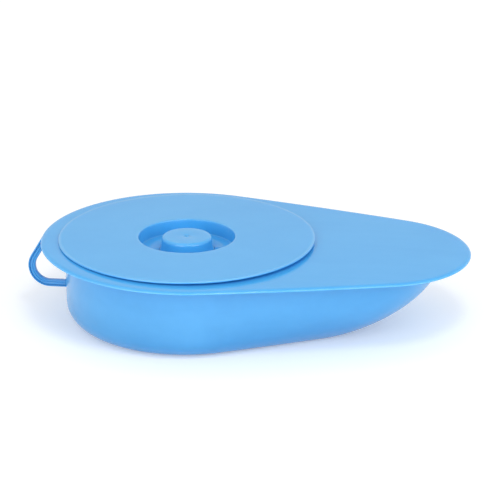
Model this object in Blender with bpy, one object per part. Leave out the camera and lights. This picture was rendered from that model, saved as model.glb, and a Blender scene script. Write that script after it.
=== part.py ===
"""Bedpan with a lift-off lid: welded bowl and seat deck, loop handle, lid and its knob.

Metres, +Z up, +X towards the tongue. The pan stands on Z = 0 and is centred on the whole object's box.
"""
import math

import bmesh
import bpy

# Plan of the seat deck: a round end, a smaller round tongue, and shallow side arcs joining them.
round_radius = 0.148
tongue_radius = 0.0985
tongue_centre = 0.1895
side_arc_radius = 2.8

# Heights above the bed.
lid_seat_height = 0.084
deck_drop_at_round_end = 0.0002
deck_slope = 0.011

# Bowl wall, its bottom corner, and how far the tongue end of the bowl reaches at the floor and at the top.
wall_thickness = 0.0025
bowl_radius = 0.1237
bowl_corner_radius = 0.0214
bowl_depth = 0.079
floor_tip_reach = 0.171
floor_tip_radius = 0.055
top_tip_reach = 0.2593
top_tip_radius = 0.0744
keel_rise_power = 1.9
keel_round_power = 1.24

# Seat deck.
deck_thickness = 0.0021
rim_depth = 0.0024
weld_ledge_inset = 0.014
weld_ledge_thickness = 0.002
opening_radius = 0.1122
opening_skirt_depth = 0.0135
lid_bead_height = 0.0837

# Lid, finger well and knob.
lid_radius = 0.1303
lid_thickness = 0.002
well_radius = 0.049
well_depth = 0.0143
locating_ring_radius = 0.1095
locating_ring_depth = 0.006
knob_radius = 0.0256
knob_foot_radius = 0.028
spigot_radius = 0.0196
spigot_hole_radius = 0.020

# Loop handle in the middle plane of the round end.
strap_width = 0.006
strap_depth = 0.0072
strap_groove_depth = 0.0014
strap_flange = 0.0016
loop_radius = 0.0185
loop_centre_x = -0.1431
loop_centre_z = 0.047
loop_lean = math.radians(31.0)

fit_gap = 0.0003
outline_arc_steps = 20
outline_side_steps = 5
outline_tip_steps = 8
lid_segments = 56
knob_segments = 40
loop_steps = 14

deck_tip = tongue_centre + tongue_radius
handle_reach = loop_centre_x - loop_radius - strap_depth / 2
lid_centre_x = -(deck_tip + handle_reach) / 2


def clear_scene():
    for old in list(bpy.data.objects):
        bpy.data.objects.remove(old)


def plastic(name, colour, roughness):
    material = bpy.data.materials.new(name)
    material.use_nodes = True
    shader = material.node_tree.nodes["Principled BSDF"]
    shader.inputs["Base Color"].default_value = (*colour, 1.0)
    shader.inputs["Roughness"].default_value = roughness
    shader.inputs["Metallic"].default_value = 0.0
    return material


def place(mesh, name, material, height=0.0):
    """Adds the mesh as an object on the lid's centre line, at the given height."""
    item = bpy.data.objects.new(name, mesh)
    item.location = (lid_centre_x, 0.0, height)
    item.data.materials.append(material)
    bpy.context.collection.objects.link(item)
    return item


def arc(centre_x, centre_y, radius, start, end, steps):
    """Points along an arc, without its last point."""
    turn = (end - start) / steps
    return [(centre_x + radius * math.cos(start + turn * i), centre_y + radius * math.sin(start + turn * i))
            for i in range(steps)]


def pear(radius, tip_radius, tip_centre, side_radius=side_arc_radius):
    """Closed outline: round end at the lid's centre, side arcs tangent to both ends, and a round tongue."""
    to_round = side_radius - radius
    to_tip = side_radius - tip_radius
    side_x = (tip_centre ** 2 + to_round ** 2 - to_tip ** 2) / (2 * tip_centre)
    side_y = math.sqrt(to_round ** 2 - side_x ** 2)
    round_join = math.atan2(side_y, -side_x)
    tip_join = math.atan2(side_y, tip_centre - side_x)
    upper = arc(0.0, 0.0, radius, math.pi, round_join, outline_arc_steps)
    upper += arc(side_x, -side_y, side_radius, round_join, tip_join, outline_side_steps)
    upper += arc(tip_centre, 0.0, tip_radius, tip_join, 0.0, outline_tip_steps)
    lower = [(x, -y) for x, y in reversed(upper[1:])]
    return upper + [(tip_centre + tip_radius, 0.0)] + lower


def circle_like(outline, radius):
    """A circle round the lid's centre with one point for each outline point, at the same share of the way."""
    half = len(outline) // 2
    round_share = outline_arc_steps
    join = math.atan2(outline[round_share][1], outline[round_share][0])
    angles = []
    for i in range(half + 1):
        if i <= round_share:
            angles.append(math.pi + (join - math.pi) * i / round_share)
        else:
            angles.append(join * (half - i) / (half - round_share))
    upper = [(radius * math.cos(a), radius * math.sin(a)) for a in angles]
    lower = [(x, -y) for x, y in reversed(upper[1:-1])]
    return upper + lower


def deck_outline(inset):
    return pear(round_radius - inset, tongue_radius - inset, tongue_centre, side_arc_radius - inset)


def deck_top(x):
    """Height of the deck's upper face, which falls gently towards the tongue."""
    return lid_seat_height - deck_drop_at_round_end - deck_slope * (x + round_radius)


def hull_outline(height, inset):
    """Outline of the bowl at a height above its floor, moved inwards by inset."""
    rise = min(max(height / bowl_depth, 0.0), 1.0)
    below_corner = max(bowl_corner_radius - height, 0.0)
    corner = math.sqrt(bowl_corner_radius ** 2 - min(below_corner, bowl_corner_radius) ** 2)
    radius = bowl_radius - bowl_corner_radius + corner
    keel = (1.0 - (1.0 - rise) ** keel_rise_power) ** (1.0 / keel_round_power)
    reach = floor_tip_reach + (top_tip_reach - floor_tip_reach) * keel
    tip_radius = floor_tip_radius + (top_tip_radius - floor_tip_radius) * keel
    return pear(radius - inset, tip_radius - inset, reach - tip_radius)


def flat_ring(outline, height):
    return [(x, y, height) for x, y in outline]


def deck_ring(outline, below):
    """The outline laid parallel to the deck's upper face, a given depth below it."""
    return [(x, y, deck_top(x) - below) for x, y in outline]


def skin(name, rings, closed):
    """Joins rings of equal length with quads, then closes the stack on itself or caps its two ends."""
    body = bmesh.new()
    loops = [[body.verts.new(point) for point in ring] for ring in rings]
    pairs = list(zip(loops, loops[1:]))
    if closed:
        pairs.append((loops[-1], loops[0]))
    for first, second in pairs:
        count = len(first)
        for i in range(count):
            after = (i + 1) % count
            body.faces.new((first[i], first[after], second[after], second[i]))
    if not closed:
        body.faces.new(loops[0])
        body.faces.new(loops[-1])
    bmesh.ops.recalc_face_normals(body, faces=body.faces)
    mesh = bpy.data.meshes.new(name)
    body.to_mesh(mesh)
    body.free()
    mesh.shade_smooth()
    mesh.set_sharp_from_angle(angle=math.radians(35.0))
    return mesh


def bowl(material):
    """Lower moulding: flat floor, round corner, boat-shaped tongue end, and the ledge the deck is welded to."""
    corner_angles = (0.0, 25.0, 50.0, 70.0)
    corner_heights = [bowl_corner_radius * (1.0 - math.cos(math.radians(a))) for a in corner_angles]
    wall_heights = corner_heights + [bowl_corner_radius, 0.036, 0.050, 0.064]
    ledge_top = deck_thickness + fit_gap
    ledge_bottom = ledge_top + weld_ledge_thickness
    mouth = hull_outline(bowl_depth, 0.0)
    mouth_inside = hull_outline(bowl_depth, wall_thickness)
    rings = [flat_ring(hull_outline(h, 0.0), h) for h in wall_heights]
    rings.append(deck_ring(mouth, ledge_bottom))
    rings.append(deck_ring(deck_outline(weld_ledge_inset), ledge_bottom))
    rings.append(deck_ring(deck_outline(weld_ledge_inset), ledge_top))
    rings.append(deck_ring(mouth_inside, ledge_top))
    for h in reversed(wall_heights):
        rings.append(flat_ring(hull_outline(h, wall_thickness), h + wall_thickness))
    return place(skin("bowl", rings, closed=False), "bowl", material)


def seat_deck(material):
    """Upper moulding: sloping deck with a turned-down rim, and a beaded opening with a skirt into the bowl."""
    outer = deck_outline(0.0)
    skirt_bottom = lid_seat_height - opening_skirt_depth
    skirt_thickness = 0.0024
    bead_width = 0.0085
    root_radius = opening_radius + 0.006
    rings = [
        deck_ring(deck_outline(0.0034), 0.0),
        deck_ring(deck_outline(0.001), 0.0004),
        deck_ring(outer, 0.0014),
        deck_ring(deck_outline(0.0004), rim_depth),
        deck_ring(deck_outline(0.0024), rim_depth),
        deck_ring(deck_outline(0.0032), deck_thickness),
        deck_ring(circle_like(outer, root_radius), deck_thickness),
        flat_ring(circle_like(outer, opening_radius + skirt_thickness), skirt_bottom),
        flat_ring(circle_like(outer, opening_radius), skirt_bottom),
        flat_ring(circle_like(outer, opening_radius), lid_bead_height - 0.0015),
        flat_ring(circle_like(outer, opening_radius + 0.0015), lid_bead_height),
        flat_ring(circle_like(outer, opening_radius + bead_width - 0.003), lid_bead_height),
        deck_ring(circle_like(outer, opening_radius + bead_width), 0.0),
    ]
    return place(skin("seat_deck", rings, closed=True), "seat_deck", material)


def strap_section():
    """Half profile of the strap: two outer flanges with a shallow groove between them on each side."""
    half_depth = strap_depth / 2
    half_width = strap_width / 2
    groove = half_depth - strap_flange
    web = half_width - strap_groove_depth
    side = [(half_depth, half_width), (groove, half_width), (groove, web)]
    other_end = [(-d, w) for d, w in reversed(side)]
    near = side + other_end
    return near + [(d, -w) for d, w in reversed(near)]


def strap_path():
    """Middle line of the loop as (x, z, angle of the outward normal), from the deck's rim to the bowl's wall."""
    rim_underside = deck_top(-round_radius) - rim_depth - fit_gap
    join = math.pi - loop_lean
    tangent_x = loop_centre_x + loop_radius * math.cos(join)
    tangent_z = loop_centre_z + loop_radius * math.sin(join)
    start_x = tangent_x + (rim_underside - tangent_z) * math.tan(loop_lean)
    path = [(start_x, rim_underside, join)]
    turn = (1.5 * math.pi - join) / loop_steps
    for i in range(loop_steps + 1):
        angle = join + turn * i
        path.append((loop_centre_x + loop_radius * math.cos(angle),
                     loop_centre_z + loop_radius * math.sin(angle), angle))
    path.append((-bowl_radius - fit_gap, loop_centre_z - loop_radius, 1.5 * math.pi))
    return path


def carry_handle(material):
    """Loop handle: a grooved strap that runs down from the rim, round the loop and back to the bowl."""
    rings = []
    for step, (x, z, angle) in enumerate(strap_path()):
        ring = []
        for depth, width in strap_section():
            if step == 0:
                ring.append((x + depth / math.cos(math.pi - angle) * -1.0, width, z))
            else:
                ring.append((x + depth * math.cos(angle), width, z + depth * math.sin(angle)))
        rings.append(ring)
    return place(skin("carry_handle", rings, closed=False), "carry_handle", material)


def turned(name, profile, closed, segments, material):
    """A body of revolution round the lid's axis, from a profile that runs down its outer side."""
    mesh = bpy.data.meshes.new(name)
    edges = [(i, i + 1) for i in range(len(profile) - 1)]
    if closed:
        edges.append((len(profile) - 1, 0))
    mesh.from_pydata([(r, 0.0, z) for r, z in profile], edges, [])
    item = place(mesh, name, material, lid_seat_height)
    screw = item.modifiers.new("turn", "SCREW")
    screw.steps = segments
    screw.render_steps = segments
    screw.use_merge_vertices = True
    screw.merge_threshold = 0.00001
    screw.use_smooth_shade = True
    return item


def lid(material):
    """Flat lid with a finger well, a locating ring under it and a hole for the knob's spigot."""
    top = lid_thickness
    floor_top = top - well_depth
    floor_bottom = floor_top - lid_thickness
    ring_inner = locating_ring_radius - 0.0018
    well_outer = well_radius + lid_thickness
    profile = [
        (lid_radius - 0.0005, top),
        (lid_radius, top - 0.0005),
        (lid_radius, 0.0002),
        (lid_radius - 0.0004, 0.0),
        (locating_ring_radius, 0.0),
        (locating_ring_radius, -locating_ring_depth),
        (ring_inner, -locating_ring_depth),
        (ring_inner, 0.0),
        (well_outer, 0.0),
        (well_outer - 0.0006, floor_bottom + 0.0015),
        (well_outer - 0.0022, floor_bottom),
        (spigot_hole_radius, floor_bottom),
        (spigot_hole_radius, floor_top),
        (well_radius - 0.0018, floor_top),
        (well_radius - 0.0007, floor_top + 0.0009),
        (well_radius, top - 0.0013),
        (well_radius + 0.0005, top - 0.0004),
        (well_radius + 0.0014, top),
    ]
    return turned("lid", profile, True, lid_segments, material)


def lid_knob(material):
    """Hollow knob that stands in the finger well, flush with the lid, on a spigot through the well's floor."""
    top = lid_thickness
    foot = top - well_depth + fit_gap
    foot_thickness = 0.002
    cap_underside = top - 0.0022
    bore = spigot_radius - 0.002
    hollow = knob_radius - 0.0024
    profile = [
        (0.0, top),
        (knob_radius - 0.0017, top),
        (knob_radius - 0.0005, top - 0.0005),
        (knob_radius, top - 0.0017),
        (knob_radius + 0.0003, top - 0.007),
        (knob_radius + 0.0010, foot + 0.0025),
        (knob_foot_radius, foot),
        (spigot_radius, foot),
        (spigot_radius, foot - 0.0045),
        (bore, foot - 0.0045),
        (bore, foot + foot_thickness),
        (hollow, foot + foot_thickness),
        (hollow, cap_underside),
        (0.0, cap_underside),
    ]
    return turned("lid_knob", profile, False, knob_segments, material)


def build():
    clear_scene()
    pan_plastic = plastic("pan_plastic", (0.13, 0.42, 0.80), 0.32)
    lid_plastic = plastic("lid_plastic", (0.14, 0.43, 0.80), 0.34)
    bowl(pan_plastic)
    seat_deck(pan_plastic)
    carry_handle(pan_plastic)
    lid(lid_plastic)
    lid_knob(lid_plastic)


build()
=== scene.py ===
import math

import bmesh
import bpy
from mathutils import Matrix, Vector


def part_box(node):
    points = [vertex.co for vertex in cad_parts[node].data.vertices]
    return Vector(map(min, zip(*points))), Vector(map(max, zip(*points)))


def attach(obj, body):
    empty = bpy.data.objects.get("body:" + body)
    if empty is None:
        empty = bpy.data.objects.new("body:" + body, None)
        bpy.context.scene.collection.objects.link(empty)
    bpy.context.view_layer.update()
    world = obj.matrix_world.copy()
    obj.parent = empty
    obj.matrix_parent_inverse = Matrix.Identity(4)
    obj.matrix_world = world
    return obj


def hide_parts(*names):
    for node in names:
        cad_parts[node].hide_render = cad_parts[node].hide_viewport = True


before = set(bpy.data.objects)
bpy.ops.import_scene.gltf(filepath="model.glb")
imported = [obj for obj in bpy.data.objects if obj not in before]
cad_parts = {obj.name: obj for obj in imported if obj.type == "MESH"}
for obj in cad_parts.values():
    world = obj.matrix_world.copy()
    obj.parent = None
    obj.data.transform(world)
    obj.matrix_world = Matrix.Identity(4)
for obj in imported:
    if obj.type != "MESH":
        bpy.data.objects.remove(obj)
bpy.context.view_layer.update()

print("frame loaded")


# node helpers, used by the geometry trees and by the materials

class Wire:
    # a node output that can be used in sums
    def __init__(self, graph, socket):
        self.graph = graph
        self.socket = socket

    def __add__(self, other):
        return self.graph.maths("ADD", self, other)

    def __radd__(self, other):
        return self.graph.maths("ADD", other, self)

    def __sub__(self, other):
        return self.graph.maths("SUBTRACT", self, other)

    def __rsub__(self, other):
        return self.graph.maths("SUBTRACT", other, self)

    def __mul__(self, other):
        return self.graph.maths("MULTIPLY", self, other)

    def __rmul__(self, other):
        return self.graph.maths("MULTIPLY", other, self)

    def __truediv__(self, other):
        return self.graph.maths("DIVIDE", self, other)

    def __neg__(self):
        return self.graph.maths("MULTIPLY", self, -1.0)

    def above(self, limit):
        return self.graph.maths("GREATER_THAN", self, limit)


class Graph:
    def __init__(self, tree):
        self.tree = tree

    def add(self, kind, settings=None, inputs=None):
        node = self.tree.nodes.new(kind)
        for key, value in (settings or {}).items():
            setattr(node, key, value)
        for key, value in (inputs or {}).items():
            if isinstance(value, Wire):
                self.tree.links.new(value.socket, node.inputs[key])
            else:
                node.inputs[key].default_value = value
        return node

    def wire(self, node, output=0):
        return Wire(self, node.outputs[output])

    def maths(self, operation, *values):
        return self.wire(self.add("ShaderNodeMath", {"operation": operation}, dict(enumerate(values))))

    def sin(self, angle):
        return self.maths("SINE", angle)

    def cos(self, angle):
        return self.maths("COSINE", angle)

    def root(self, value):
        return self.maths("SQRT", value)

    def pick(self, test, yes, no):
        return test * (yes - no) + no


# geometry node trees

def newTree(name, sockets):
    tree = bpy.data.node_groups.new(name, "GeometryNodeTree")
    tree.interface.new_socket("Geometry", in_out="INPUT", socket_type="NodeSocketGeometry")
    for socketName, kind, start in sockets:
        socket = tree.interface.new_socket(socketName, in_out="INPUT", socket_type=kind)
        if start is not None:
            socket.default_value = start
    tree.interface.new_socket("Geometry", in_out="OUTPUT", socket_type="NodeSocketGeometry")
    graph = Graph(tree)
    return graph, graph.add("NodeGroupInput")


def endTree(graph, geometry, given):
    # merges seams and poles, then finishes as real, smooth, painted geometry
    merged = graph.add("GeometryNodeMergeByDistance", None, {"Geometry": geometry, "Distance": 0.000002})
    smooth = graph.add("GeometryNodeSetShadeSmooth", None, {"Geometry": graph.wire(merged)})
    real = graph.add("GeometryNodeRealizeInstances", None, {"Geometry": graph.wire(smooth)})
    painted = graph.add("GeometryNodeSetMaterial", None,
                        {"Geometry": graph.wire(real), "Material": graph.wire(given, "Material")})
    graph.add("NodeGroupOutput", None, {"Geometry": graph.wire(painted)})
    return graph.tree


def gridOfRows(graph, stations, columns):
    # a grid with one row of vertices for each station, and the row and column of each vertex
    size = graph.add("GeometryNodeAttributeDomainSize", {"component": "MESH"}, {"Geometry": stations})
    rows = graph.wire(size, "Point Count")
    grid = graph.add("GeometryNodeMeshGrid", None, {"Vertices X": columns, "Vertices Y": rows})
    index = graph.wire(graph.add("GeometryNodeInputIndex"))
    column = graph.maths("FLOOR", (index + 0.5) / rows)
    row = index - column * rows
    return graph.wire(grid), row, column


def stationValue(graph, stations, row, name):
    # the named number stored on the station of this row
    named = graph.add("GeometryNodeInputNamedAttribute", {"data_type": "FLOAT"}, {"Name": name})
    sample = graph.add("GeometryNodeSampleIndex", {"data_type": "FLOAT", "domain": "POINT"},
                       {"Geometry": stations, "Value": graph.wire(named), "Index": row})
    return graph.wire(sample)


def placed(graph, geometry, x, y, z, wear):
    # moves the grid's vertices and keeps the wear of each for the material
    spot = graph.add("ShaderNodeCombineXYZ", None, {"X": x, "Y": y, "Z": z})
    moved = graph.add("GeometryNodeSetPosition", None, {"Geometry": geometry, "Position": graph.wire(spot)})
    kept = graph.add("GeometryNodeStoreNamedAttribute", {"data_type": "FLOAT", "domain": "POINT"},
                     {"Geometry": graph.wire(moved), "Name": "wear", "Value": wear})
    return graph.wire(kept)


def makeTurnedTree():
    # turns the stations (radius, height) round the vertical axis
    graph, given = newTree("turnedPiece", [
        ("Segments", "NodeSocketInt", 96),
        ("Axis X", "NodeSocketFloat", 0.0),
        ("Material", "NodeSocketMaterial", None),
    ])
    stations = graph.wire(given, "Geometry")
    segments = graph.wire(given, "Segments")
    grid, row, column = gridOfRows(graph, stations, segments + 1)
    angle = column / segments * (2 * math.pi)
    radius = stationValue(graph, stations, row, "radius")
    height = stationValue(graph, stations, row, "height")
    wear = stationValue(graph, stations, row, "wear")
    x = graph.wire(given, "Axis X") + radius * graph.cos(angle)
    return endTree(graph, placed(graph, grid, x, radius * graph.sin(angle), height, wear), given)


# how a pear ring's vertices are shared out on each half; the tip has the rest
columnShares = {"round": 0.56, "side": 0.16}


def makePearTree():
    # lays each station as a pear-shaped or round ring; the share round the ring runs from the round end
    graph, given = newTree("pearPiece", [
        ("Columns", "NodeSocketInt", 240),
        ("Axis X", "NodeSocketFloat", 0.0),
        ("Join Angle", "NodeSocketFloat", 1.3),
        ("Slope", "NodeSocketFloat", 0.0),
        ("Material", "NodeSocketMaterial", None),
    ])
    stations = graph.wire(given, "Geometry")
    columns = graph.wire(given, "Columns")
    grid, row, column = gridOfRows(graph, stations, columns + 1)
    names = ("radius", "tipRadius", "tipCentre", "sideRadius", "height", "follow", "ringRadius", "roundness",
             "wear")
    radius, tipRadius, tipCentre, sideRadius, height, follow, ringRadius, roundness, wear = (
        stationValue(graph, stations, row, name) for name in names)

    turn = column / columns * 2.0
    side = graph.pick(turn.above(1.0), -1.0, 1.0)
    share = 1.0 - graph.maths("ABSOLUTE", 1.0 - turn)
    roundShare = columnShares["round"]
    sideShare = columnShares["side"]
    tipShare = 1.0 - roundShare - sideShare

    toRound = sideRadius - radius
    toTip = sideRadius - tipRadius
    sideX = (tipCentre * tipCentre + toRound * toRound - toTip * toTip) / (2.0 * tipCentre)
    sideY = graph.root(toRound * toRound - sideX * sideX)
    roundJoin = graph.maths("ARCTAN2", sideY, -sideX)
    tipJoin = graph.maths("ARCTAN2", sideY, tipCentre - sideX)

    roundAngle = math.pi + (roundJoin - math.pi) * (share / roundShare)
    sideAngle = roundJoin + (tipJoin - roundJoin) * ((share - roundShare) / sideShare)
    tipAngle = tipJoin * (1.0 - (share - roundShare - sideShare) / tipShare)
    pastRound = share.above(roundShare)
    pastSide = share.above(roundShare + sideShare)
    nearX = graph.pick(pastRound, sideX + sideRadius * graph.cos(sideAngle), radius * graph.cos(roundAngle))
    nearY = graph.pick(pastRound, sideRadius * graph.sin(sideAngle) - sideY, radius * graph.sin(roundAngle))
    pearX = graph.pick(pastSide, tipCentre + tipRadius * graph.cos(tipAngle), nearX)
    pearY = graph.pick(pastSide, tipRadius * graph.sin(tipAngle), nearY)

    join = graph.wire(given, "Join Angle")
    ringAngle = graph.pick(pastRound, join * (1.0 - (share - roundShare) / (1.0 - roundShare)),
                           math.pi + (join - math.pi) * (share / roundShare))
    x = graph.pick(roundness, ringRadius * graph.cos(ringAngle), pearX)
    y = graph.pick(roundness, ringRadius * graph.sin(ringAngle), pearY)
    z = height - follow * graph.wire(given, "Slope") * x
    return endTree(graph, placed(graph, grid, x + graph.wire(given, "Axis X"), y * side, z, wear), given)


def makeStrapTree():
    # carries the section along the path: depth along the path's own normal, width across the pan
    graph, given = newTree("strapPiece", [
        ("Section", "NodeSocketObject", None),
        ("Material", "NodeSocketMaterial", None),
    ])
    path = graph.wire(given, "Geometry")
    size = graph.add("GeometryNodeAttributeDomainSize", {"component": "MESH"}, {"Geometry": path})
    info = graph.add("GeometryNodeObjectInfo", {"transform_space": "ORIGINAL"},
                     {"Object": graph.wire(given, "Section")})
    section = graph.wire(info, "Geometry")
    grid, row, column = gridOfRows(graph, section, graph.wire(size, "Point Count"))
    x, z, normalX, normalZ = (stationValue(graph, path, column, name)
                              for name in ("x", "z", "normalX", "normalZ"))
    depth, width, wear = (stationValue(graph, section, row, name) for name in ("depth", "width", "wear"))
    body = placed(graph, grid, x + depth * normalX, width, z + depth * normalZ, wear)
    return endTree(graph, body, given)


def stationMesh(name, stations):
    # loose points that carry each station's numbers as attributes
    mesh = bpy.data.meshes.new(name)
    mesh.from_pydata([(0.0, 0.0, 0.0)] * len(stations), [], [])
    for key in stations[0]:
        layer = mesh.attributes.new(key, "FLOAT", "POINT")
        layer.data.foreach_set("value", [station[key] for station in stations])
    return mesh


def grow(name, mesh, tree, values, capped=False):
    # evaluates the tree on the stations and keeps the result as a plain mesh
    item = bpy.data.objects.new(name, mesh)
    bpy.context.scene.collection.objects.link(item)
    modifier = item.modifiers.new("shape", "NODES")
    modifier.node_group = tree
    sockets = {s.name: s.identifier for s in tree.interface.items_tree if s.in_out == "INPUT"}
    for key, value in values.items():
        modifier[sockets[key]] = value
    evaluated = item.evaluated_get(bpy.context.evaluated_depsgraph_get())
    plain = bpy.data.meshes.new_from_object(evaluated)
    item.modifiers.remove(modifier)
    item.data = plain
    plain.name = name
    body = bmesh.new()
    body.from_mesh(plain)
    if capped:
        rims = [edge for edge in body.edges if edge.is_boundary]
        bmesh.ops.holes_fill(body, edges=rims, sides=0)
    bmesh.ops.recalc_face_normals(body, faces=body.faces)
    body.to_mesh(plain)
    body.free()
    openEdges = sum(1 for edge in loopCounts(plain) if edge != 2)
    print(name, len(plain.polygons), "faces,", openEdges, "open edges")
    return item


def loopCounts(mesh):
    counts = [0] * len(mesh.edges)
    for loop in mesh.loops:
        counts[loop.edge_index] += 1
    return counts


# places and sizes shared by the pieces, from the frame

lidLow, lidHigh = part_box("lid")
deckLow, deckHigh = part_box("seat_deck")
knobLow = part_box("lid_knob")[0]
handleLow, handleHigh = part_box("carry_handle")
axisX = (lidLow.x + lidHigh.x) / 2
lidTop = lidHigh.z
roundRadius = axisX - deckLow.x
tipReach = deckHigh.x - axisX
mm = 0.001


def arcSteps(start, end, steps):
    return [math.radians(start + (end - start) * i / steps) for i in range(steps + 1)]


def smooth(share):
    return share * share * (3.0 - 2.0 * share)


# the pan's plan: a round end, shallow side arcs and a round tongue

plan = {
    "tipRadius": 98.5 * mm,
    "sideRadius": 2.8,
    "slope": 0.011,
    "roundEndDrop": 0.2 * mm,
    "lidThickness": 2.0 * mm,
    "columns": 288,
}
tipCentre = tipReach - plan["tipRadius"]
seatHeight = lidTop - plan["lidThickness"]
deckHeight = seatHeight - plan["roundEndDrop"] - plan["slope"] * roundRadius


def pearStation(radius, tipRadius, centre, height, follow=0.0, wear=0.0, side=plan["sideRadius"], ring=0.0,
                roundness=0.0):
    return {"radius": radius, "tipRadius": tipRadius, "tipCentre": centre, "sideRadius": side,
            "height": height, "follow": follow, "ringRadius": ring, "roundness": roundness, "wear": wear}


def deckStation(inset, below, wear=0.0, ring=0.0, roundness=0.0):
    return pearStation(roundRadius - inset, plan["tipRadius"] - inset, tipCentre, deckHeight - below,
                       1.0, wear, plan["sideRadius"] - inset, ring, roundness)


def ringStation(ring, height, follow=0.0, wear=0.0):
    return pearStation(roundRadius, plan["tipRadius"], tipCentre, height, follow, wear, ring=ring,
                       roundness=1.0)


# bowl

bowlShape = {
    "radius": 123.7 * mm,
    "corner": 21.4 * mm,
    "depth": 79.0 * mm,
    "wall": 2.4 * mm,
    "floorTip": 171.0 * mm,
    "floorTipRadius": 55.0 * mm,
    "topTip": 259.3 * mm,
    "topTipRadius": 74.4 * mm,
    "risePower": 1.9,
    "roundPower": 1.24,
    "ledgeInset": 14.0 * mm,
    "ledgeTop": 2.4 * mm,
    "ledgeBottom": 4.4 * mm,
    "standingBand": 9.0 * mm,
    "recess": 0.6 * mm,
    "straightTop": 60.0 * mm,
    "fillet": 2.0 * mm,
    "edge": 0.5 * mm,
    "lip": 0.8 * mm,
    # gate mark under the floor: radius and height in millimetres
    "gate": [(0.0, 0.8), (1.3, 0.8), (1.6, 1.0), (1.75, 1.5), (4.6, 1.5), (5.1, 1.35), (5.4, 0.9), (5.8, 0.6),
             (9.0, 0.6)],
}


def hullStation(rise, inset, height, follow=0.0, wear=0.0):
    # the bowl's outline at a height above its floor
    shape = bowlShape
    share = min(max(rise / shape["depth"], 0.0), 1.0)
    belowCorner = min(max(shape["corner"] - rise, 0.0), shape["corner"])
    radius = shape["radius"] - shape["corner"] + math.sqrt(shape["corner"] ** 2 - belowCorner ** 2)
    keel = (1.0 - (1.0 - share) ** shape["risePower"]) ** (1.0 / shape["roundPower"])
    reach = shape["floorTip"] + (shape["topTip"] - shape["floorTip"]) * keel
    tipRadius = shape["floorTipRadius"] + (shape["topTipRadius"] - shape["floorTipRadius"]) * keel
    return pearStation(radius - inset, tipRadius - inset, reach - tipRadius, height, follow, wear)


def withRing(station, ring, roundness):
    return {**station, "ringRadius": ring, "roundness": roundness}


def bowlStations():
    shape = bowlShape
    wall = shape["wall"]
    recess = shape["recess"]
    band = shape["standingBand"]
    stations = [ringStation(radius * mm, height * mm) for radius, height in shape["gate"]]
    gateRadius = shape["gate"][-1][0] * mm
    # the recessed floor, from round to the bowl's outline, then the band that the pan stands on
    for step in range(1, 6):
        stations.append(withRing(hullStation(0.0, band + 1.2 * mm, recess), gateRadius, 1.0 - step / 5))
    stations.append(hullStation(0.0, band + 0.6 * mm, recess * 0.85))
    stations.append(hullStation(0.0, band + 0.2 * mm, recess * 0.3, wear=0.4))
    stations.append(hullStation(0.0, band - 0.3 * mm, 0.0, wear=0.9))
    stations.append(hullStation(0.0, band * 0.5, 0.0, wear=1.0))
    rises = [shape["corner"] * (1.0 - math.cos(angle)) for angle in arcSteps(0.0, 90.0, 18)]
    stations += [hullStation(rise, 0.0, rise, wear=max(0.0, 0.8 - 0.1 * i)) for i, rise in enumerate(rises)]
    straightTop = shape["straightTop"]
    for step in range(1, 9):
        rise = shape["corner"] + (straightTop - shape["corner"]) * step / 8
        stations.append(hullStation(rise, 0.0, rise))
    # below the ledge the wall starts to follow the deck's slope
    fillet = shape["fillet"]
    under = deckHeight - shape["ledgeBottom"]
    for step in range(1, 6):
        share = step / 5
        rise = straightTop + (shape["depth"] - straightTop) * share
        stations.append(hullStation(rise, 0.0, straightTop + (under - fillet - straightTop) * share, share))
    for angle in arcSteps(0.0, 90.0, 5)[1:]:
        stations.append(hullStation(shape["depth"], fillet * (math.cos(angle) - 1.0),
                                    under - fillet + fillet * math.sin(angle), 1.0))
    edge = shape["edge"]
    stations.append(deckStation(shape["ledgeInset"] + edge, shape["ledgeBottom"]))
    for angle in arcSteps(-90.0, 90.0, 6):
        middle = shape["ledgeTop"] + edge if angle >= 0 else shape["ledgeBottom"] - edge
        stations.append(deckStation(shape["ledgeInset"] + edge * (1.0 - math.cos(angle)),
                                    middle - edge * math.sin(angle)))
    mouth = deckHeight - shape["ledgeTop"]
    lip = shape["lip"]
    for angle in arcSteps(90.0, 180.0, 4):
        stations.append(hullStation(shape["depth"], wall - lip - lip * math.cos(angle),
                                    mouth - lip + lip * math.sin(angle), 1.0, 0.3))
    # back down inside
    for step in range(4, -1, -1):
        share = step / 5
        rise = straightTop + (shape["depth"] - straightTop) * share
        height = straightTop + wall + (mouth - lip - straightTop - wall) * share
        stations.append(hullStation(rise, wall, height, share))
    for step in range(7, -1, -1):
        rise = shape["corner"] + (straightTop - shape["corner"]) * step / 8
        stations.append(hullStation(rise, wall, rise + wall))
    stations += [hullStation(rise, wall, rise + wall) for rise in reversed(rises[:-1])]
    for step in range(1, 8):
        inner = hullStation(0.0, wall + 4.0 * mm, wall)
        stations.append(withRing(inner, 12.0 * mm, step / 7))
    stations.append(ringStation(0.0, wall))
    return stations


# seat deck

deckShape = {
    "thickness": 2.1 * mm,
    "rimDepth": 2.6 * mm,
    "rimRound": 1.9 * mm,
    "rimRoll": 5.5 * mm,
    "rimLow": 0.6 * mm,
    "rimWidth": 2.4 * mm,
    "flatInset": 12.0 * mm,
    "underInset": 4.0 * mm,
    "underRing": 121.5 * mm,
    "rootWidth": 6.0 * mm,
    "rootDepth": 6.5 * mm,
    "opening": 112.2 * mm,
    "skirt": 2.4 * mm,
    "skirtBottom": 13.5 * mm,
    "beadTop": -0.3 * mm,
    "beadRound": 2.4 * mm,
    "beadOuter": 117.4 * mm,
    "deckStart": 121.2 * mm,
}


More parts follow.
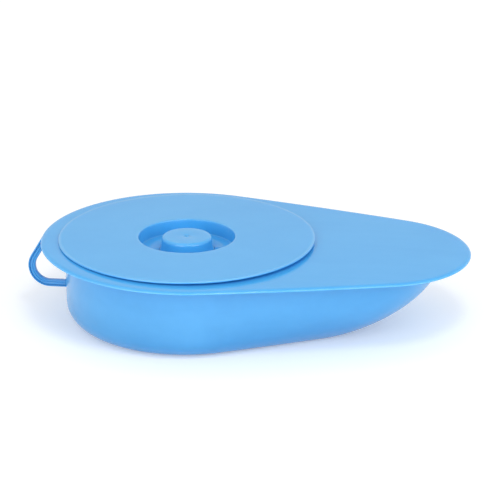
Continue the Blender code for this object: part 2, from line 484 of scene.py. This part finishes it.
def deckStations():
    shape = deckShape
    rimRound = shape["rimRound"]
    rimRoll = shape["rimRoll"]
    flatInset = shape["flatInset"]
    stations = [deckStation(flatInset, 0.0), deckStation(8.5 * mm, 0.0)]
    # the edge rolls over gently, then turns down
    for angle in arcSteps(90.0, 0.0, 14):
        stations.append(deckStation(rimRoll * (1.0 - math.cos(angle)), rimRound * (1.0 - math.sin(angle)),
                                    0.9 * math.cos(angle) ** 2))
    low = shape["rimLow"]
    for angle in arcSteps(0.0, -90.0, 4):
        stations.append(deckStation(low * (1.0 - math.cos(angle)),
                                    shape["rimDepth"] - low - low * math.sin(angle), 0.6))
    for angle in arcSteps(-90.0, -180.0, 4):
        stations.append(deckStation(shape["rimWidth"] - low * (1.0 + math.cos(angle)),
                                    shape["rimDepth"] - low * 0.6 * (1.0 + math.sin(angle))))
    stations.append(deckStation(3.4 * mm, shape["thickness"]))
    under = deckHeight - shape["thickness"]
    for step in range(1, 6):
        stations.append(deckStation(shape["underInset"], shape["thickness"], 0.0,
                                    shape["underRing"], step / 5))
    rootTop = seatHeight - shape["rootDepth"]
    outerSkirt = shape["opening"] + shape["skirt"]
    rootWidth = shape["rootWidth"]
    for angle in arcSteps(90.0, 180.0, 8):
        share = math.sin(angle)
        stations.append(ringStation(outerSkirt + rootWidth * (1.0 + math.cos(angle)),
                                    rootTop + (under - rootTop) * share, share))
    bottom = seatHeight - shape["skirtBottom"]
    half = shape["skirt"] / 2
    for angle in arcSteps(0.0, -180.0, 8):
        stations.append(ringStation(shape["opening"] + half + half * math.cos(angle),
                                    bottom + half + half * math.sin(angle), 0.0, 0.2))
    beadRound = shape["beadRound"]
    beadTop = seatHeight + shape["beadTop"]
    for angle in arcSteps(180.0, 90.0, 8):
        stations.append(ringStation(shape["opening"] + beadRound * (1.0 + math.cos(angle)),
                                    beadTop - beadRound * (1.0 - math.sin(angle)), 0.0, 0.5))
    stations.append(ringStation(shape["beadOuter"], beadTop, 0.0, 0.3))
    for step in range(1, 10):
        share = step / 9
        fall = smooth(share)
        stations.append(ringStation(shape["beadOuter"] + (shape["deckStart"] - shape["beadOuter"]) * share,
                                    beadTop + (deckHeight - beadTop) * fall, fall))
    for step in range(1, 8):
        stations.append(deckStation(flatInset, 0.0, 0.0, shape["deckStart"], 1.0 - step / 8))
    stations.append(stations[0])
    return stations


# loop handle

handleShape = {
    "width": 6.0 * mm,
    "depth": 7.2 * mm,
    "grooveDepth": 1.7 * mm,
    "grooveLow": 0.9 * mm,
    "grooveHigh": 2.3 * mm,
    "fineDepth": 0.7 * mm,
    "fineLow": -1.9 * mm,
    "fineHigh": -1.0 * mm,
    "edgeRound": 0.4 * mm,
    "loopRadius": 18.5 * mm,
    "lean": 31.0,
    "loopSteps": 40,
}


def strapSection():
    # half of the section, then its mirror image: thin strip, groove, band, fine groove and inner band
    shape = handleShape
    half = shape["width"] / 2
    outer = shape["depth"] / 2
    web = half - shape["grooveDepth"]
    low = shape["grooveLow"]
    high = shape["grooveHigh"]
    fineLow = shape["fineLow"]
    fineHigh = shape["fineHigh"]
    fineWeb = half - shape["fineDepth"]
    r = shape["edgeRound"]
    points = [(outer, 0.0), (outer, half - 2 * r), (outer - 0.12 * mm, half - 1.2 * r),
              (outer - 0.5 * r, half - 0.4 * r),
              (outer - r, half), (high + 0.5 * r, half), (high, half - 0.4 * r), (high - 0.1 * mm, web + r),
              (high - 0.5 * r, web), (low + 0.5 * r, web), (low + 0.1 * mm, web + r), (low, half - 0.5 * r),
              (low - 0.4 * r, half), (fineHigh + 0.5 * r, half), (fineHigh, half - 0.5 * r),
              (fineHigh - 0.4 * r, fineWeb), (fineLow + 0.4 * r, fineWeb), (fineLow, half - 0.5 * r),
              (fineLow - 0.5 * r, half), (-outer + 1.6 * r, half - 0.15 * mm),
              (-outer + 0.5 * r, half - 1.2 * r), (-outer, half - 2.4 * r), (-outer, 0.0)]
    return points + [(depth, -width) for depth, width in reversed(points[1:-1])] + [points[0]]


def strapPath():
    shape = handleShape
    radius = shape["loopRadius"]
    lean = math.radians(shape["lean"])
    centreX = handleLow.x + shape["depth"] / 2 + radius
    centreZ = handleLow.z + shape["depth"] / 2 + radius
    join = math.pi - lean
    tangentX = centreX + radius * math.cos(join)
    tangentZ = centreZ + radius * math.sin(join)
    topZ = handleHigh.z + 0.35 * mm
    startX = tangentX + (topZ - tangentZ) * math.tan(lean)
    # the upper end is cut level, to meet the rim
    path = [{"x": startX, "z": topZ, "normalX": -1.0 / math.cos(lean), "normalZ": 0.0}]
    for step in range(1, 8):
        share = step / 8
        path.append({"x": startX + (tangentX - startX) * share, "z": topZ + (tangentZ - topZ) * share,
                     "normalX": math.cos(join), "normalZ": math.sin(join)})
    for step in range(shape["loopSteps"] + 1):
        angle = join + (1.5 * math.pi - join) * step / shape["loopSteps"]
        path.append({"x": centreX + radius * math.cos(angle), "z": centreZ + radius * math.sin(angle),
                     "normalX": math.cos(angle), "normalZ": math.sin(angle)})
    endX = axisX - bowlShape["radius"] + 0.6 * mm
    for step in range(1, 6):
        path.append({"x": centreX + (endX - centreX) * step / 5, "z": centreZ - radius,
                     "normalX": 0.0, "normalZ": -1.0})
    return path


# lid

lidShape = {
    "radius": (lidHigh.x - lidLow.x) / 2,
    "well": 49.0 * mm,
    "wellDepth": 14.3 * mm,
    "wellRound": 1.2 * mm,
    "floorRound": 1.3 * mm,
    "rimRound": 0.9 * mm,
    "rimLow": 0.4 * mm,
    "ring": 109.5 * mm,
    "ringWidth": 1.8 * mm,
    "ringDepth": 6.0 * mm,
    "ringFillet": 0.8 * mm,
    "wellTopFillet": 1.5 * mm,
    "wellLowRound": 2.6 * mm,
    "wellTaper": 0.7 * mm,
    "hole": 20.0 * mm,
    "segments": 240,
}


def turnedStation(radius, height, wear=0.0):
    return {"radius": radius, "height": height, "wear": wear}


def filletSteps(centreR, centreZ, radius, start, end, steps, wear=0.0):
    return [turnedStation(centreR + radius * math.cos(angle), centreZ + radius * math.sin(angle), wear)
            for angle in arcSteps(start, end, steps)]


def lidStations():
    shape = lidShape
    thickness = plan["lidThickness"]
    rimRound = shape["rimRound"]
    low = shape["rimLow"]
    fillet = shape["ringFillet"]
    floorTop = lidTop - shape["wellDepth"]
    floorBottom = floorTop - thickness
    stations = [turnedStation(shape["radius"] - 6.0 * mm, lidTop)]
    stations += filletSteps(shape["radius"] - rimRound, lidTop - rimRound, rimRound, 90.0, 0.0, 6, 1.0)
    stations += filletSteps(shape["radius"] - low, seatHeight + low, low, 0.0, -90.0, 4, 0.5)
    stations.append(turnedStation(shape["ring"] + 1.0 * mm, seatHeight))
    stations += filletSteps(shape["ring"] + fillet, seatHeight - fillet, fillet, 90.0, 180.0, 4)
    half = shape["ringWidth"] / 2
    ringEnd = seatHeight - shape["ringDepth"]
    stations += filletSteps(shape["ring"] - half, ringEnd + half, half, 0.0, -180.0, 6, 0.3)
    inner = shape["ring"] - shape["ringWidth"]
    stations += filletSteps(inner - fillet, seatHeight - fillet, fillet, 0.0, 90.0, 4)
    wellOuter = shape["well"] + thickness
    topFillet = shape["wellTopFillet"]
    taper = shape["wellTaper"]
    lowRound = shape["wellLowRound"]
    stations += filletSteps(wellOuter + topFillet, seatHeight - topFillet, topFillet, 90.0, 180.0, 4)
    stations += filletSteps(wellOuter - taper - lowRound, floorBottom + lowRound, lowRound,
                            0.0, -90.0, 6, 0.3)
    stations.append(turnedStation(shape["hole"] + 0.4 * mm, floorBottom))
    stations += filletSteps(shape["hole"] + 0.3 * mm, floorBottom + 0.3 * mm, 0.3 * mm, -90.0, -180.0, 2)
    stations.append(turnedStation(shape["hole"], floorTop))
    floorRound = shape["floorRound"]
    foot = shape["well"] - taper
    stations += filletSteps(foot - floorRound, floorTop + floorRound, floorRound, -90.0, 0.0, 6)
    wellRound = shape["wellRound"]
    stations += filletSteps(shape["well"] + wellRound, lidTop - wellRound, wellRound, 180.0, 90.0, 8, 0.7)
    stations.append(turnedStation(shape["well"] + 6.0 * mm, lidTop))
    stations.append(turnedStation((shape["well"] + shape["radius"]) / 2, lidTop))
    stations.append(stations[0])
    return stations


# knob

knobShape = {
    "radius": 25.6 * mm,
    "foot": 28.0 * mm,
    "capRound": 3.2 * mm,
    "spigot": 19.6 * mm,
    "wall": 2.2 * mm,
    "boreWall": 2.0 * mm,
    # gate mark in the cap: radius and height in millimetres
    "gate": [(0.0, 0.05), (1.0, 0.05), (1.25, -0.05), (1.4, -0.35), (3.0, -0.38), (3.3, -0.3), (3.6, -0.05),
             (4.0, 0.0)],
    "segments": 160,
}


def knobStations():
    # from the gate mark in the middle of the cap, down the side to the foot and spigot, and up inside
    shape = knobShape
    top = lidTop
    capRound = shape["capRound"]
    foot = lidTop - lidShape["wellDepth"] + 0.05 * mm
    stations = [turnedStation(radius * mm, top + height * mm) for radius, height in shape["gate"]]
    stations += filletSteps(shape["radius"] - capRound, top - capRound, capRound, 90.0, 4.0, 10, 0.6)
    flare = shape["foot"] - shape["radius"]
    for step in range(1, 13):
        share = step / 12
        height = top - capRound + (foot - top + capRound) * share
        stations.append(turnedStation(shape["radius"] + flare * (0.25 * share + 0.75 * share ** 3.2), height))
    stations.append(turnedStation(shape["spigot"] + 0.2 * mm, foot))
    bottom = knobLow.z
    stations += filletSteps(shape["spigot"] - 0.5 * mm, bottom + 0.5 * mm, 0.5 * mm, 0.0, -90.0, 3)
    bore = shape["spigot"] - shape["boreWall"]
    stations.append(turnedStation(bore, bottom))
    stations.append(turnedStation(bore, foot + shape["wall"]))
    hollow = shape["radius"] - shape["wall"]
    stations.append(turnedStation(hollow, foot + shape["wall"]))
    stations += filletSteps(hollow - 1.0 * mm, top - shape["wall"] - 1.0 * mm, 1.0 * mm, 0.0, 90.0, 3)
    stations.append(turnedStation(0.0, top - shape["wall"]))
    return stations


# the moulded plastic

plastic = {
    "colour": (0.074, 0.425, 0.85),
    # deeper colour for the random tone, also used for the painted shade towards the base
    "deepToneAndShadeColour": (0.045, 0.355, 0.77),
    "scuffColour": (0.30, 0.60, 0.90),
    "roughness": 0.22,
    "mottle": 0.05,
    "peelScale": 260.0,
    "peelHeight": 0.000006,
    "grainScale": 1900.0,
    "grainHeight": 0.0000012,
    "refraction": 1.49,
    "glow": 0.05,
    "scratchDepth": 0.0000025,
    "nickDepth": 0.00001,
    "pinDepth": 0.00004,
    "glowReach": (0.002, 0.004, 0.006),
}


def between(edge0, edge1, value):
    # rises from 0 to 1 as value goes from edge0 to edge1
    graph = value.graph
    return graph.wire(graph.add("ShaderNodeMapRange", {"interpolation_type": "SMOOTHSTEP", "clamp": True},
                                {"Value": value, "From Min": edge0, "From Max": edge1}))


def noiseOf(graph, vector, scale, detail=3.0, roughness=0.5, distortion=0.0):
    node = graph.add("ShaderNodeTexNoise", None, {"Vector": vector, "Scale": scale, "Detail": detail,
                                                  "Roughness": roughness, "Distortion": distortion})
    return graph.wire(node, "Fac")


def stretched(graph, vector, factors, turn=0.0):
    # turned about the vertical first, then squeezed along each axis
    turnedVector = graph.wire(graph.add("ShaderNodeVectorRotate", {"rotation_type": "Z_AXIS"},
                                        {"Vector": vector, "Angle": math.radians(turn)}))
    return graph.wire(graph.add("ShaderNodeMapping", None, {"Vector": turnedVector, "Scale": factors}))


def mixColour(graph, share, first, second):
    node = graph.add("ShaderNodeMix", {"data_type": "RGBA"}, {"Factor": share})
    for name, value in ((6, first), (7, second)):
        if isinstance(value, Wire):
            graph.tree.links.new(value.socket, node.inputs[name])
        else:
            node.inputs[name].default_value = (*value, 1.0)
    return graph.wire(node, 2)


def hairlines(graph, vector, turn, scale, width):
    # long thin marks running one way, kept where a broad noise allows
    along = stretched(graph, vector, (scale, scale * 0.03, scale * 0.03), turn)
    lines = noiseOf(graph, along, 1.0, 1.0)
    return between(0.5 - width, 0.5, lines) * (1.0 - between(0.5, 0.5 + width, lines))


def makePlastic(name, look):
    # look holds what differs on this piece, over the shared plastic
    values = {**plastic, **look}
    material = bpy.data.materials.new(name)
    material.use_nodes = True
    material.node_tree.nodes.clear()
    graph = Graph(material.node_tree)
    place = graph.wire(graph.add("ShaderNodeTexCoord"), "Object")
    parts = graph.add("ShaderNodeSeparateXYZ", None, {"Vector": place})
    x, y, z = (graph.wire(parts, axis) for axis in ("X", "Y", "Z"))
    wearNode = graph.add("ShaderNodeAttribute", {"attribute_type": "GEOMETRY", "attribute_name": "wear"})
    wear = graph.wire(wearNode, "Fac")

    # colour: slow clouds in the pigment, streaks along the flow, and painted shade that makes the colour
    # darker towards the bottom of the piece
    cloud = noiseOf(graph, place, 9.0, 2.0, 0.5, 0.4)
    speck = noiseOf(graph, place, 75.0, 3.0, 0.6)
    flow = noiseOf(graph, stretched(graph, place, values["flowScale"]), 1.0, 3.0, 0.55, 0.6)
    tone = between(0.30, 0.72, cloud * 0.50 + flow * 0.34 + speck * 0.16)
    # painted shade: the colour darkens towards the base of the piece, standing in for the dimmer light low on
    # the wall
    low = between(values["paintedShadeTop"], 0.0, z) * values["paintedShadeGain"]
    body = mixColour(graph, tone * 0.42 + 0.10 + low, values["colour"], values["deepToneAndShadeColour"])

    # moulding marks: faint rings of flow round the gate
    awayX = x - values["gateX"]
    away = graph.root(awayX * awayX + y * y)
    ripple = graph.sin(away * values["rippleScale"] + flow * 9.0) * between(values["rippleReach"], 0.0, away)

    # use: light scuffs on edges that touch things, fine hairlines on the broad faces
    patch = noiseOf(graph, place, 26.0, 3.0, 0.6, 0.5)
    nick = noiseOf(graph, place, 420.0, 2.0, 0.6)
    rubbed = between(0.42, 0.78, wear * 0.62 + patch * 0.42 + nick * 0.20 - 0.16) * between(0.05, 0.3, wear)
    lines = (hairlines(graph, place, 18.0, 900.0, 0.011) + hairlines(graph, place, -41.0, 760.0, 0.009)
             + hairlines(graph, place, 77.0, 840.0, 0.010))
    lines = lines * between(0.50, 0.68, noiseOf(graph, place, 15.0, 1.0)) * values["hairlines"]
    colour = mixColour(graph, rubbed * 0.30 + lines * 0.05, body, values["scuffColour"])

    # finish: mottled sheen, rougher where rubbed or scratched
    mottle = noiseOf(graph, place, 34.0, 4.0, 0.6)
    fine = noiseOf(graph, place, 310.0, 2.0, 0.5)
    sheen = (values["roughness"] + (mottle - 0.5) * values["mottle"] * 2.0 + (fine - 0.5) * values["mottle"]
             + (cloud - 0.5) * 0.05 + rubbed * 0.05 + lines * 0.07)

    # relief: orange peel, fine grain, flow ripple, hairlines and sink marks
    peel = noiseOf(graph, place, values["peelScale"], 2.0, 0.45)
    grain = noiseOf(graph, place, values["grainScale"], 2.0, 0.5)
    sink = noiseOf(graph, place, 22.0, 1.0, 0.4)
    height = ((peel - 0.5) * values["peelHeight"] + (grain - 0.5) * values["grainHeight"]
              + (sink - 0.5) * values["sinkHeight"] + ripple * values["rippleHeight"]
              - lines * values["scratchDepth"] - rubbed * nick * values["nickDepth"])
    height = height + pinMarks(graph, x, y, z, values) * values["pinDepth"]
    relief = graph.add("ShaderNodeBump", None, {"Strength": 1.0, "Distance": 1.0, "Height": height})

    shader = graph.add("ShaderNodeBsdfPrincipled", None, {
        "Base Color": colour, "Roughness": sheen, "Normal": graph.wire(relief), "IOR": values["refraction"],
        "Subsurface Weight": values["glow"], "Subsurface Radius": values["glowReach"],
        "Subsurface Scale": 1.0})
    output = graph.add("ShaderNodeOutputMaterial")
    material.node_tree.links.new(shader.outputs["BSDF"], output.inputs["Surface"])
    return material


def pinMarks(graph, x, y, z, values):
    # shallow round ejector marks in a ring, on the side of the piece that lies below pinTop
    count = values["pinCount"]
    turn = graph.maths("ARCTAN2", y, x - axisX) / (2.0 * math.pi) * count
    share = turn - graph.maths("ROUND", turn)
    dx = x - axisX
    radius = graph.root(dx * dx + y * y)
    sideways = radius * graph.sin(share * (2.0 * math.pi / count))
    outward = radius * graph.cos(share * (2.0 * math.pi / count)) - values["pinRing"]
    away = graph.root(sideways * sideways + outward * outward)
    below = between(values["pinTop"] + 0.2 * mm, values["pinTop"] - 0.2 * mm, z)
    above = between(values["pinBottom"] - 0.2 * mm, values["pinBottom"] + 0.2 * mm, z)
    return between(values["pinRadius"], values["pinRadius"] - 0.3 * mm, away) * below * above


quiet = {
    "flowScale": (5.0, 34.0, 34.0),
    "gateX": axisX,
    "rippleScale": 900.0,
    "rippleReach": 0.10,
    "rippleHeight": 0.000003,
    "sinkHeight": 0.00003,
    "paintedShadeTop": 1.0 * mm,
    "paintedShadeGain": 0.0,
    "hairlines": 0.6,
    "pinCount": 8,
    "pinRing": 88.0 * mm,
    "pinRadius": 4.0 * mm,
    "pinTop": -1.0,
    "pinBottom": -2.0,
}
looks = {
    # bowl: the same plastic as the deck and lid, given a duller, darker colour and a painted shade near its
    # base, both standing in for how the light falls on its wall
    "bowl": {**quiet, "colour": (0.092, 0.385, 0.75), "deepToneAndShadeColour": (0.050, 0.270, 0.575), "roughness": 0.20,
             "paintedShadeTop": 46.0 * mm, "paintedShadeGain": 0.72, "hairlines": 0.3, "pinTop": 4.0 * mm,
             "pinBottom": 1.8 * mm, "pinCount": 6, "pinRing": 70.0 * mm},
    "deck": {**quiet, "roughness": 0.14, "rippleReach": 0.34, "hairlines": 1.0},
    "handle": {**quiet, "colour": (0.060, 0.340, 0.72), "deepToneAndShadeColour": (0.040, 0.270, 0.62), "roughness": 0.20,
               "flowScale": (60.0, 160.0, 60.0), "rippleHeight": 0.0},
    "lid": {**quiet, "roughness": 0.13, "flowScale": (18.0, 18.0, 40.0), "pinTop": lidTop - 1.0 * mm,
            "pinBottom": seatHeight - 0.5 * mm, "hairlines": 1.0},
    "knob": {**quiet, "roughness": 0.09, "flowScale": (60.0, 60.0, 60.0), "rippleReach": 0.02},
}
finish = {name: makePlastic(name + "Plastic", look) for name, look in looks.items()}
print("plastics made")


# the five mouldings

turned = makeTurnedTree()
pear = makePearTree()
strap = makeStrapTree()

toRound = plan["sideRadius"] - roundRadius
toTip = plan["sideRadius"] - plan["tipRadius"]
sideX = (tipCentre ** 2 + toRound ** 2 - toTip ** 2) / (2 * tipCentre)
joinAngle = math.atan2(math.sqrt(toRound ** 2 - sideX ** 2), -sideX)
pearValues = {"Columns": plan["columns"], "Axis X": axisX, "Join Angle": joinAngle, "Slope": plan["slope"]}


def settle(item, node, body):
    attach(item, body)
    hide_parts(node)


bowl = grow("bowlShell", stationMesh("bowlStations", bowlStations()), pear,
            {**pearValues, "Material": finish["bowl"]})
settle(bowl, "bowl", "pan")

deck = grow("seatDeckPlate", stationMesh("deckStations", deckStations()), pear,
            {**pearValues, "Material": finish["deck"]})
settle(deck, "seat_deck", "pan")

lid = grow("lidDisc", stationMesh("lidStations", lidStations()), turned,
           {"Segments": lidShape["segments"], "Axis X": axisX, "Material": finish["lid"]})
settle(lid, "lid", "lid")

knob = grow("lidKnobPlug", stationMesh("knobStations", knobStations()), turned,
            {"Segments": knobShape["segments"], "Axis X": axisX, "Material": finish["knob"]})
settle(knob, "lid_knob", "lid")

sectionPoints = [{"depth": depth, "width": width, "wear": 0.8 if abs(depth) > 3.0 * mm else 0.2}
                 for depth, width in strapSection()]
section = bpy.data.objects.new("strapSection", stationMesh("strapSection", sectionPoints))
handle = grow("loopHandleStrap", stationMesh("strapPath", strapPath()), strap,
              {"Section": section, "Material": finish["handle"]}, capped=True)
bpy.data.objects.remove(section)
settle(handle, "carry_handle", "pan")
print("mouldings made")


# floor, light and camera

studio = {
    "floorRadius": 4.0,
    "floorColour": (0.90, 0.90, 0.90),
    "floorGlowNear": 0.22,
    "floorGlowFar": 0.42,
    "floorGlowStart": 0.3,
    "floorGlowEnd": 2.0,
    "skyZenith": 0.76,
    "skyFront": 0.22,
    "skyBehind": 0.90,
    "lampDistance": 1.8,
    "lamps": [
        # turn from the camera, height above the horizon, size and power
        (-33.6, 18.0, 1.3, 12.5),
        (15.0, 60.0, 0.4, 5.0),
        (40.8, 18.0, 1.3, 11.5),
    ],
    "cameraTurn": 7.1,
    "cameraHeight": 20.49,
    "cameraDistance": 2.2,
    "cameraTarget": (0.0068, -0.0280, 0.084),
    "lens": 158.2,
}


def direction(turn, height):
    turn = math.radians(turn)
    height = math.radians(height)
    return Vector((math.sin(turn) * math.cos(height), -math.cos(turn) * math.cos(height), math.sin(height)))


def makeFloor():
    mesh = bpy.data.meshes.new("studioFloor")
    body = bmesh.new()
    bmesh.ops.create_circle(body, cap_ends=True, segments=96, radius=studio["floorRadius"])
    body.to_mesh(mesh)
    body.free()
    material = bpy.data.materials.new("paleFloor")
    material.use_nodes = True
    material.node_tree.nodes.clear()
    graph = Graph(material.node_tree)
    place = graph.wire(graph.add("ShaderNodeTexCoord"), "Object")
    dust = noiseOf(graph, place, 3.0, 2.0)
    first = studio["floorColour"]
    colour = mixColour(graph, dust, first, tuple(value * 0.985 for value in first))
    away = graph.wire(graph.add("ShaderNodeVectorMath", {"operation": "LENGTH"}, {"Vector": place}), "Value")
    nearGlow = (studio["floorGlowNear"],) * 3
    farGlow = (studio["floorGlowFar"],) * 3
    far = between(studio["floorGlowStart"], studio["floorGlowEnd"], away)
    lightBox = mixColour(graph, far, nearGlow, farGlow)
    shader = graph.add("ShaderNodeBsdfPrincipled", None, {
        "Base Color": colour, "Roughness": 0.9, "Emission Color": lightBox, "Emission Strength": 1.0})
    output = graph.add("ShaderNodeOutputMaterial")
    material.node_tree.links.new(shader.outputs["BSDF"], output.inputs["Surface"])
    mesh.materials.append(material)
    floor = bpy.data.objects.new("studioFloor", mesh)
    bpy.context.scene.collection.objects.link(floor)


def makeLamps():
    target = Vector((0.0, 0.0, 0.05))
    for number, (turn, height, size, power) in enumerate(studio["lamps"]):
        light = bpy.data.lights.new("studioLamp" + str(number + 1), "AREA")
        light.shape = "DISK"
        light.size = size
        light.energy = power
        away = direction(turn + studio["cameraTurn"], height)
        lamp = bpy.data.objects.new(light.name, light)
        lamp.location = target + away * studio["lampDistance"]
        lamp.rotation_euler = away.to_track_quat("Z", "Y").to_euler()
        bpy.context.scene.collection.objects.link(lamp)


def makeSky():
    world = bpy.data.worlds.new("studioSky")
    world.use_nodes = True
    world.node_tree.nodes.clear()
    graph = Graph(world.node_tree)
    parts = graph.add("ShaderNodeSeparateXYZ", None,
                      {"Vector": graph.wire(graph.add("ShaderNodeTexCoord"), "Generated")})
    high = between(0.15, 0.75, graph.wire(parts, "Z"))
    behind = between(-0.2, 0.7, graph.wire(parts, "Y"))
    horizon = graph.pick(behind, studio["skyBehind"], studio["skyFront"])
    bright = graph.pick(high, studio["skyZenith"], horizon)
    background = graph.add("ShaderNodeBackground", None, {"Color": (1.0, 1.0, 1.0, 1.0), "Strength": bright})
    output = graph.add("ShaderNodeOutputWorld")
    world.node_tree.links.new(background.outputs["Background"], output.inputs["Surface"])
    bpy.context.scene.world = world


def makeCamera():
    camera = bpy.data.cameras.new("studioCamera")
    camera.lens = studio["lens"]
    camera.sensor_width = 36.0
    camera.clip_start = 0.05
    camera.clip_end = 50.0
    away = direction(studio["cameraTurn"], studio["cameraHeight"])
    item = bpy.data.objects.new("studioCamera", camera)
    item.location = Vector(studio["cameraTarget"]) + away * studio["cameraDistance"]
    item.rotation_euler = away.to_track_quat("Z", "Y").to_euler()
    bpy.context.scene.collection.objects.link(item)
    bpy.context.scene.camera = item


makeFloor()
makeLamps()
makeSky()
makeCamera()
bpy.context.scene.view_settings.view_transform = "Standard"
print("studio made")
